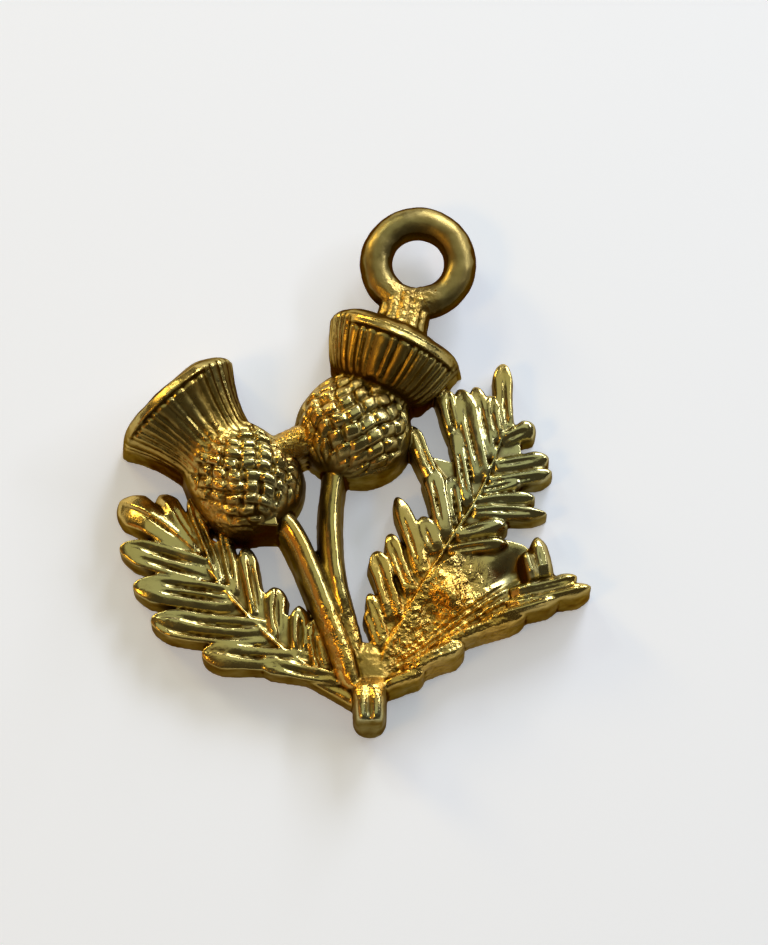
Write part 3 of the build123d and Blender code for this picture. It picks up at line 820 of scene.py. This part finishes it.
web_corners = np.array(low_head) + low_bulb_radius * np.array(web_rows)
web_top = np.column_stack([web_corners, np.full(4, web_height)])
web_back = np.column_stack([web_corners - (0, web_lean), np.zeros(4)])
shell(np.stack([web_top, web_back]))

# Hanging ring and collar: a ring bent from round wire, soldered to the taller flower's rim by a
# ribbed oval collar.
ring_radius = 1.69
ring_wire = 1.33
ring_height = 1.50
ring_lean = 77.5
collar_length = 0.30
collar_width = 2.20
collar_shift = 0.10
collar_ribs = 6
collar_rib_depth = 0.11
collar_rib_roundness = 0.8
collar_rib_sunk = 0.4

cap_top = on_plan(tall_head, tall_head_lean, neck_distance + tall_crown_length + cap_height, 0)
ring_middle = on_plan(cap_top, ring_lean, collar_length + ring_radius + ring_wire / 2, 0)
round_ring = np.linspace(0, 2 * math.pi, 181)[:, None]
round_wire = np.linspace(0, 2 * math.pi, 60, endpoint=False)
reach = ring_radius + ring_wire / 2 * np.cos(round_wire) + 0 * round_ring
shell(np.stack([
    ring_middle[0] + reach * np.cos(round_ring),
    ring_middle[1] + reach * np.sin(round_ring),
    ring_height + ring_wire / 2 * np.sin(round_wire) + 0 * round_ring,
], -1))

# Columns of the collar: place along it, half width, half height
collar_rows = smooth_rows((
    (-0.5 * cap_height, 0.5 * collar_width, 0.72 * ring_wire + 0.13),
    (0.5 * collar_length, 0.46 * collar_width, 0.66 * ring_wire),
    (collar_length + 0.7 * ring_wire, 0.44 * collar_width, 0.48 * ring_wire),
), 50)
collar_turn = np.linspace(0, 2 * math.pi, 160, endpoint=False)
collar_proud = np.abs(np.cos(collar_turn * collar_ribs)) ** collar_rib_roundness
collar_proud = collar_rib_depth * (collar_proud - collar_rib_sunk)
collar_across = (collar_rows[:, 1:2] + collar_proud) * np.cos(collar_turn) + collar_shift
collar_up = (collar_rows[:, 2:3] + collar_proud) * np.sin(collar_turn) + ring_height
collar_flat = on_plan(cap_top, ring_lean, collar_rows[:, :1] + 0 * collar_across, collar_across)
shell(np.concatenate([collar_flat, collar_up[..., None]], 2))

# Casting: the surfaces above become one skin of gold. Their union is taken on a fine grid, eased so
# that inner corners are filleted as in a casting, and roughened where the mould left it so. The
# layout was drawn from its own middle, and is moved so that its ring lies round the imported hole.
voxel = 0.05
ease_steps = 4
ease_in = 0.55
ease_out = 0.57
thin_to = 195000
spot_reach = 1.5
groove_steps, groove_span = 10, 0.05
valley_steps, valley_span = 70, 0.22
wall_from, wall_span = 0.80, 0.5

# Lumps all over the skin, and grains on its rough patches. Columns: size, height, seed
lump_rows = ((0.90, 0.024, 1), (0.35, 0.012, 2), (0.18, 0.006, 5))
grain_rows = ((0.36, 0.045, 3), (0.15, 0.042, 4))

# Rough patches; places where the buff reached and the gold is palest, which also paint highlight
# and reflection; and places that kept a film, which also paint shade.
# Columns: along X and along Y in the layout, radius, strength
rough_rows = (
    (3.3, -5.7, 1.9, 1.0), (2.3, -7.1, 1.5, 1.0), (-2.4, 0.8, 0.9, 1.0), (-1.3, 2.2, 1.0, 0.5),
    (-0.6, -7.2, 1.3, 0.6), (2.1, 6.6, 1.0, 0.8), (-5.2, -2.2, 1.2, 0.7), (5.2, -6.4, 1.1, 0.6),
    (0.5, -9.2, 0.7, 0.5), (-5.5, 0.6, 0.7, 0.8), (0.7, 2.8, 0.6, 0.6),
)
# Pale spots: buffed gold, and also painted highlight and painted reflection, lighter and greener
pale_and_highlight_rows = (
    (5.6, -0.6, 3.0, 0.9), (-6.4, -5.2, 2.4, 0.35), (2.6, 8.5, 2.4, 0.5), (-4.0, -7.0, 2.0, 0.25),
    (6.6, -4.2, 1.4, 0.8), (-3.9, -1.0, 1.6, 0.6), (0.4, 0.9, 1.4, 0.4), (0.6, -10.5, 0.8, 0.9),
)
# Film spots: partly an oxide film, partly painted shade over places the panels light brightly
film_and_shade_rows = (
    (1.0, 3.7, 1.6, 1.0), (-7.0, 1.0, 1.2, 0.20), (-7.5, 1.9, 0.9, 0.45), (-5.4, 2.2, 1.4, 0.60),
    (-4.2, -2.6, 0.8, 0.55), (2.6, 8.4, 3.2, 1.0), (6.3, -4.1, 0.8, 0.40), (0.7, -8.2, 0.8, 0.9),
)

hole = next(m for m in frame["record"]["mounts"] if m["name"] == "ring_hole")
layout_shift = np.array([*(np.array(hole["pos_m"][:2]) / MM - ring_middle), 0.0])

starts = np.cumsum([0] + [len(points) for points, _ in casting])
points = np.vstack([points for points, _ in casting]) + layout_shift
triangles = np.vstack([t + start for (_, t), start in zip(casting, starts)])
skin = bpy.data.meshes.new("gold_casting")
skin.vertices.add(len(points))
skin.vertices.foreach_set("co", points.astype(np.float32).ravel())
skin.loops.add(3 * len(triangles))
skin.loops.foreach_set("vertex_index", triangles.astype(np.int32).ravel())
skin.polygons.add(len(triangles))
skin.polygons.foreach_set("loop_start", np.arange(0, 3 * len(triangles), 3, dtype=np.int32))
skin.update(calc_edges=True)
charm = bpy.data.objects.new("gold_casting", skin)
bpy.context.scene.collection.objects.link(charm)


def finished(piece):
    """The piece's mesh with its modifiers applied, in place of its old one."""
    graph = bpy.context.evaluated_depsgraph_get()
    made = bpy.data.meshes.new_from_object(piece.evaluated_get(graph))
    piece.modifiers.clear()
    piece.data = made
    return made


def read(values, name, width):
    """One property of a mesh's vertices or edges as an array of rows."""
    array = np.empty(len(values) * width, np.int32 if name == "vertices" else np.float32)
    values.foreach_get(name, array)
    return array.reshape(-1, width)


def neighbours(mesh):
    """A function that gives each vertex's mean over the vertices it shares an edge with."""
    ends = read(mesh.edges, "vertices", 2)
    count = len(mesh.vertices)
    share = np.bincount(ends.ravel(), minlength=count)

    def mean(values):
        sums = [
            np.bincount(ends[:, 0], column[ends[:, 1]], count)
            + np.bincount(ends[:, 1], column[ends[:, 0]], count)
            for column in values.T
        ]
        return np.stack(sums, 1) / share[:, None]

    return mean


def noise(size, seed):
    """Smooth value noise at each place, from -1 to 1: random values on a lattice of the given size,
    blended between lattice places by 3u^2 - 2u^3 in each direction."""
    table = np.random.default_rng(seed).uniform(-1, 1, (64, 64, 64))
    grid = places / size + 1000
    corner = np.floor(grid).astype(int)
    u = grid - corner
    u = u * u * (3 - 2 * u)
    total = np.zeros(len(places))
    for step in np.ndindex(2, 2, 2):
        weight = np.prod(np.where(step, u, 1 - u), axis=1)
        total += weight * table[tuple(((corner + step) % 64).T)]
    return total


def spotted(rows):
    """The strongest of some round spots: strength (reach - distance over radius), from 0 to 1."""
    spots = np.zeros(len(places))
    for x, y, radius, strength in rows:
        away = np.hypot(places[:, 0] - x - layout_shift[0], places[:, 1] - y - layout_shift[1])
        spots = np.maximum(spots, strength * np.clip(spot_reach - away / radius, 0, 1))
    return spots


def moved(mesh):
    """Puts the mesh's vertices at the places and gives its new normals."""
    mesh.vertices.foreach_set("co", places.astype(np.float32).ravel())
    mesh.update()
    return read(mesh.vertices, "normal", 3).astype(float)


def hollow(steps, span):
    """How far the surface, averaged over some steps between neighbours, lies outside itself: above
    0 in a groove, below 0 on a crest, as a share of the span."""
    soft = places
    for _ in range(steps):
        soft = mean(soft)
    return np.sum((soft - places) * normals, axis=1) / span


fuse = charm.modifiers.new("fuse", "REMESH")
fuse.mode = "VOXEL"
fuse.voxel_size = voxel
fused = finished(charm)

# Each step of easing moves a place towards its neighbours' mean, and then back a little more, so
# that the skin softens and doesn't shrink.
mean = neighbours(fused)
places = read(fused.vertices, "co", 3).astype(float)
for _ in range(ease_steps):
    places += ease_in * (mean(places) - places)
    places -= ease_out * (mean(places) - places)

rough = spotted(rough_rows)
normals = moved(fused)
lumps = sum(height * noise(size, seed) for size, height, seed in lump_rows)
grains = sum(height * noise(size, seed) for size, height, seed in grain_rows)
places += normals * (lumps + rough * grains)[:, None]
places[:, 2] = np.maximum(places[:, 2], 0.0)
normals = moved(fused)

for name, values in (
    ("groove", hollow(groove_steps, groove_span)), ("valley", hollow(valley_steps, valley_span)),
    ("rough", rough), ("wall", np.clip((wall_from - normals[:, 2]) / wall_span, 0, 1)),
    ("pale_and_highlight", spotted(pale_and_highlight_rows)), ("film", spotted(film_and_shade_rows)),
):
    attribute = fused.attributes.new(name, "FLOAT", "POINT")
    attribute.data.foreach_set("value", values.astype(np.float32))
thin = charm.modifiers.new("thin", "DECIMATE")
thin.ratio = min(1.0, thin_to / (2 * len(fused.polygons)))
thinned = finished(charm)
thinned.transform(np.diag([MM, MM, MM, 1.0]))
thinned.polygons.foreach_set("use_smooth", np.ones(len(thinned.polygons), bool))
thinned.name = "gold_casting"

# Nine-carat yellow gold, lost-wax cast, tumbled and hand polished: crests are bright and smooth,
# grooves keep a dull brown oxide, and the mould's grain stays where no buff reached. Walls, steep
# sides and some spots are also darkened as painted shade, and some spots paled as painted
# highlight.
gold = bpy.data.materials.new("cast_nine_carat_gold")
gold.use_nodes = True
tree = gold.node_tree
shader = tree.nodes["Principled BSDF"]


def node(kind, output, *settings):
    """Adds a node and gives one of its outputs. A setting is the name of an attribute, or the name
    or number of an input, and its value or the output that feeds it."""
    made = tree.nodes.new("ShaderNode" + kind)
    for name, value in settings:
        if isinstance(name, str) and hasattr(made, name):
            setattr(made, name, value)
        elif isinstance(value, bpy.types.NodeSocket):
            tree.links.new(value, made.inputs[name])
        else:
            made.inputs[name].default_value = value
    return made.outputs[output]


# The outputs of the finish by name: first the skin's attributes
place = node("TexCoord", "Object")
finish = {
    name: node("Attribute", "Fac", ("attribute_name", name))
    for name in ("groove", "valley", "wall", "rough", "pale_and_highlight", "film")
}

# Uneven patches. Columns: name, size in millimetres, detail
for name, size, detail in (
    ("stain", 0.7, 3), ("mould_grain", 0.17, 2), ("melt", 2.6, 1), ("buffing", 0.5, 4),
    ("scratches", 0.11, 3),
):
    finish[name] = node("TexNoise", "Fac", ("Vector", place), ("Scale", 1 / (size * MM)),
                        ("Detail", detail), ("Roughness", 0.55))

# A value stretched from one range to another, and held at its ends. Columns: name, value, from low
# and high, to low and high
for name, value, low, high, start, end in (
    ("oxide_in_grooves", "groove", 0.13, 0.75, 0.0, 1.0),
    ("oxide_in_valleys", "valley", 0.18, 1.0, 0.0, 0.7),
    # Steep walls and sides go towards the oxide colour: painted shade for dark edge reflections
    ("oxide_on_walls", "wall", 0.0, 1.0, 0.0, 0.84),
    # Film spots count more on walls: painted shade there as well as film
    ("film_strength", "wall", 0.2, 1.0, 0.7, 2.0),
    ("pits", "mould_grain", 0.38, 0.54, 0.24, 0.0),
    ("oxide_left", "rough", 0.0, 1.0, 1.0, 0.45),
    ("oxide_patches", "stain", 0.25, 0.75, 0.7, 1.1),
    ("warm_patches", "stain", 0.3, 0.6, 0.4, 0.9),
    ("melt_share", "melt", 0.40, 0.60, 0.0, 1.0),
    ("buffed_dullness", "buffing", 0.3, 0.7, 0.15, 0.27),
    ("grain_height", "rough", 0.0, 1.0, 0.0, 3.0),
):
    finish[name] = node("MapRange", "Result", ("Value", finish[value]), ("From Min", low),
                        ("From Max", high), ("To Min", start), ("To Max", end))

# Sums and products of those, each from a name or a number. Columns: name, operation, what it takes
for name, operation, *taken in (
    ("grooved", "ADD", "oxide_in_grooves", "oxide_in_valleys"),
    # Oxide in grooves and valleys, plus the painted shade on the walls
    ("walled", "ADD", "grooved", "oxide_on_walls"),
    # Adds the film spots, which are film and painted shade
    ("filmed", "MULTIPLY_ADD", "film", "film_strength", "walled"),
    ("pitted", "MULTIPLY_ADD", "rough", "pits", "filmed"),
    ("rubbed", "MULTIPLY", "pitted", "oxide_left"),
    ("patchy", "MULTIPLY", "rubbed", "oxide_patches"),
    # Oxide in hollows together with painted shade on walls and film spots, held at 1
    ("oxide", "MINIMUM", "patchy", 1.0),
    ("warmth", "MULTIPLY", "rough", "warm_patches"),
    ("oxide_dullness", "MULTIPLY_ADD", "oxide", 0.30, "buffed_dullness"),
    ("dullness", "MULTIPLY_ADD", "rough", 0.04, "oxide_dullness"),
    ("fine_relief", "MULTIPLY", "scratches", 0.2),
    ("relief", "MULTIPLY_ADD", "mould_grain", "grain_height", "fine_relief"),
):
    finish[name] = node("Math", 0, ("operation", operation),
                        *enumerate(finish.get(value, value) for value in taken))

# One colour over another. Columns: name, share of the upper one, lower colour, upper colour
for name, share, lower, upper in (
    ("melt_colour", "melt_share", "DCC474", "E4BE62"),
    # The pale colour is buffed gold and painted highlight in one
    ("buffed_and_highlight_colour", "pale_and_highlight", "melt_colour", "D9D398"),
    ("warm_colour", "warmth", "buffed_and_highlight_colour", "EDB64C"),
    # The oxide colour also paints shade on walls, sides and film spots, and tints their edge
    # reflections
    ("metal_colour", "oxide", "warm_colour", "5E4510"),
    ("oxide_and_shade_rim_tint", "oxide", "FFFFFF", "94702C"),
):
    lower, upper = (finish[c] if c in finish else linear(c) for c in (lower, upper))
    finish[name] = node("Mix", 2, ("data_type", "RGBA"), (0, finish[share]), (6, lower), (7, upper))
finish["bump"] = node("Bump", "Normal", ("Strength", 0.6), ("Distance", 0.05 * MM),
                      ("Height", finish["relief"]))

shader.inputs["Metallic"].default_value = 1.0
for name, socket in (
    ("metal_colour", "Base Color"), ("oxide_and_shade_rim_tint", "Specular Tint"), ("dullness", "Roughness"),
    ("bump", "Normal"),
):
    tree.links.new(finish[name], shader.inputs[socket])
thinned.materials.clear()
thinned.materials.append(gold)
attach(charm, "root")
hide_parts("thistle_charm")
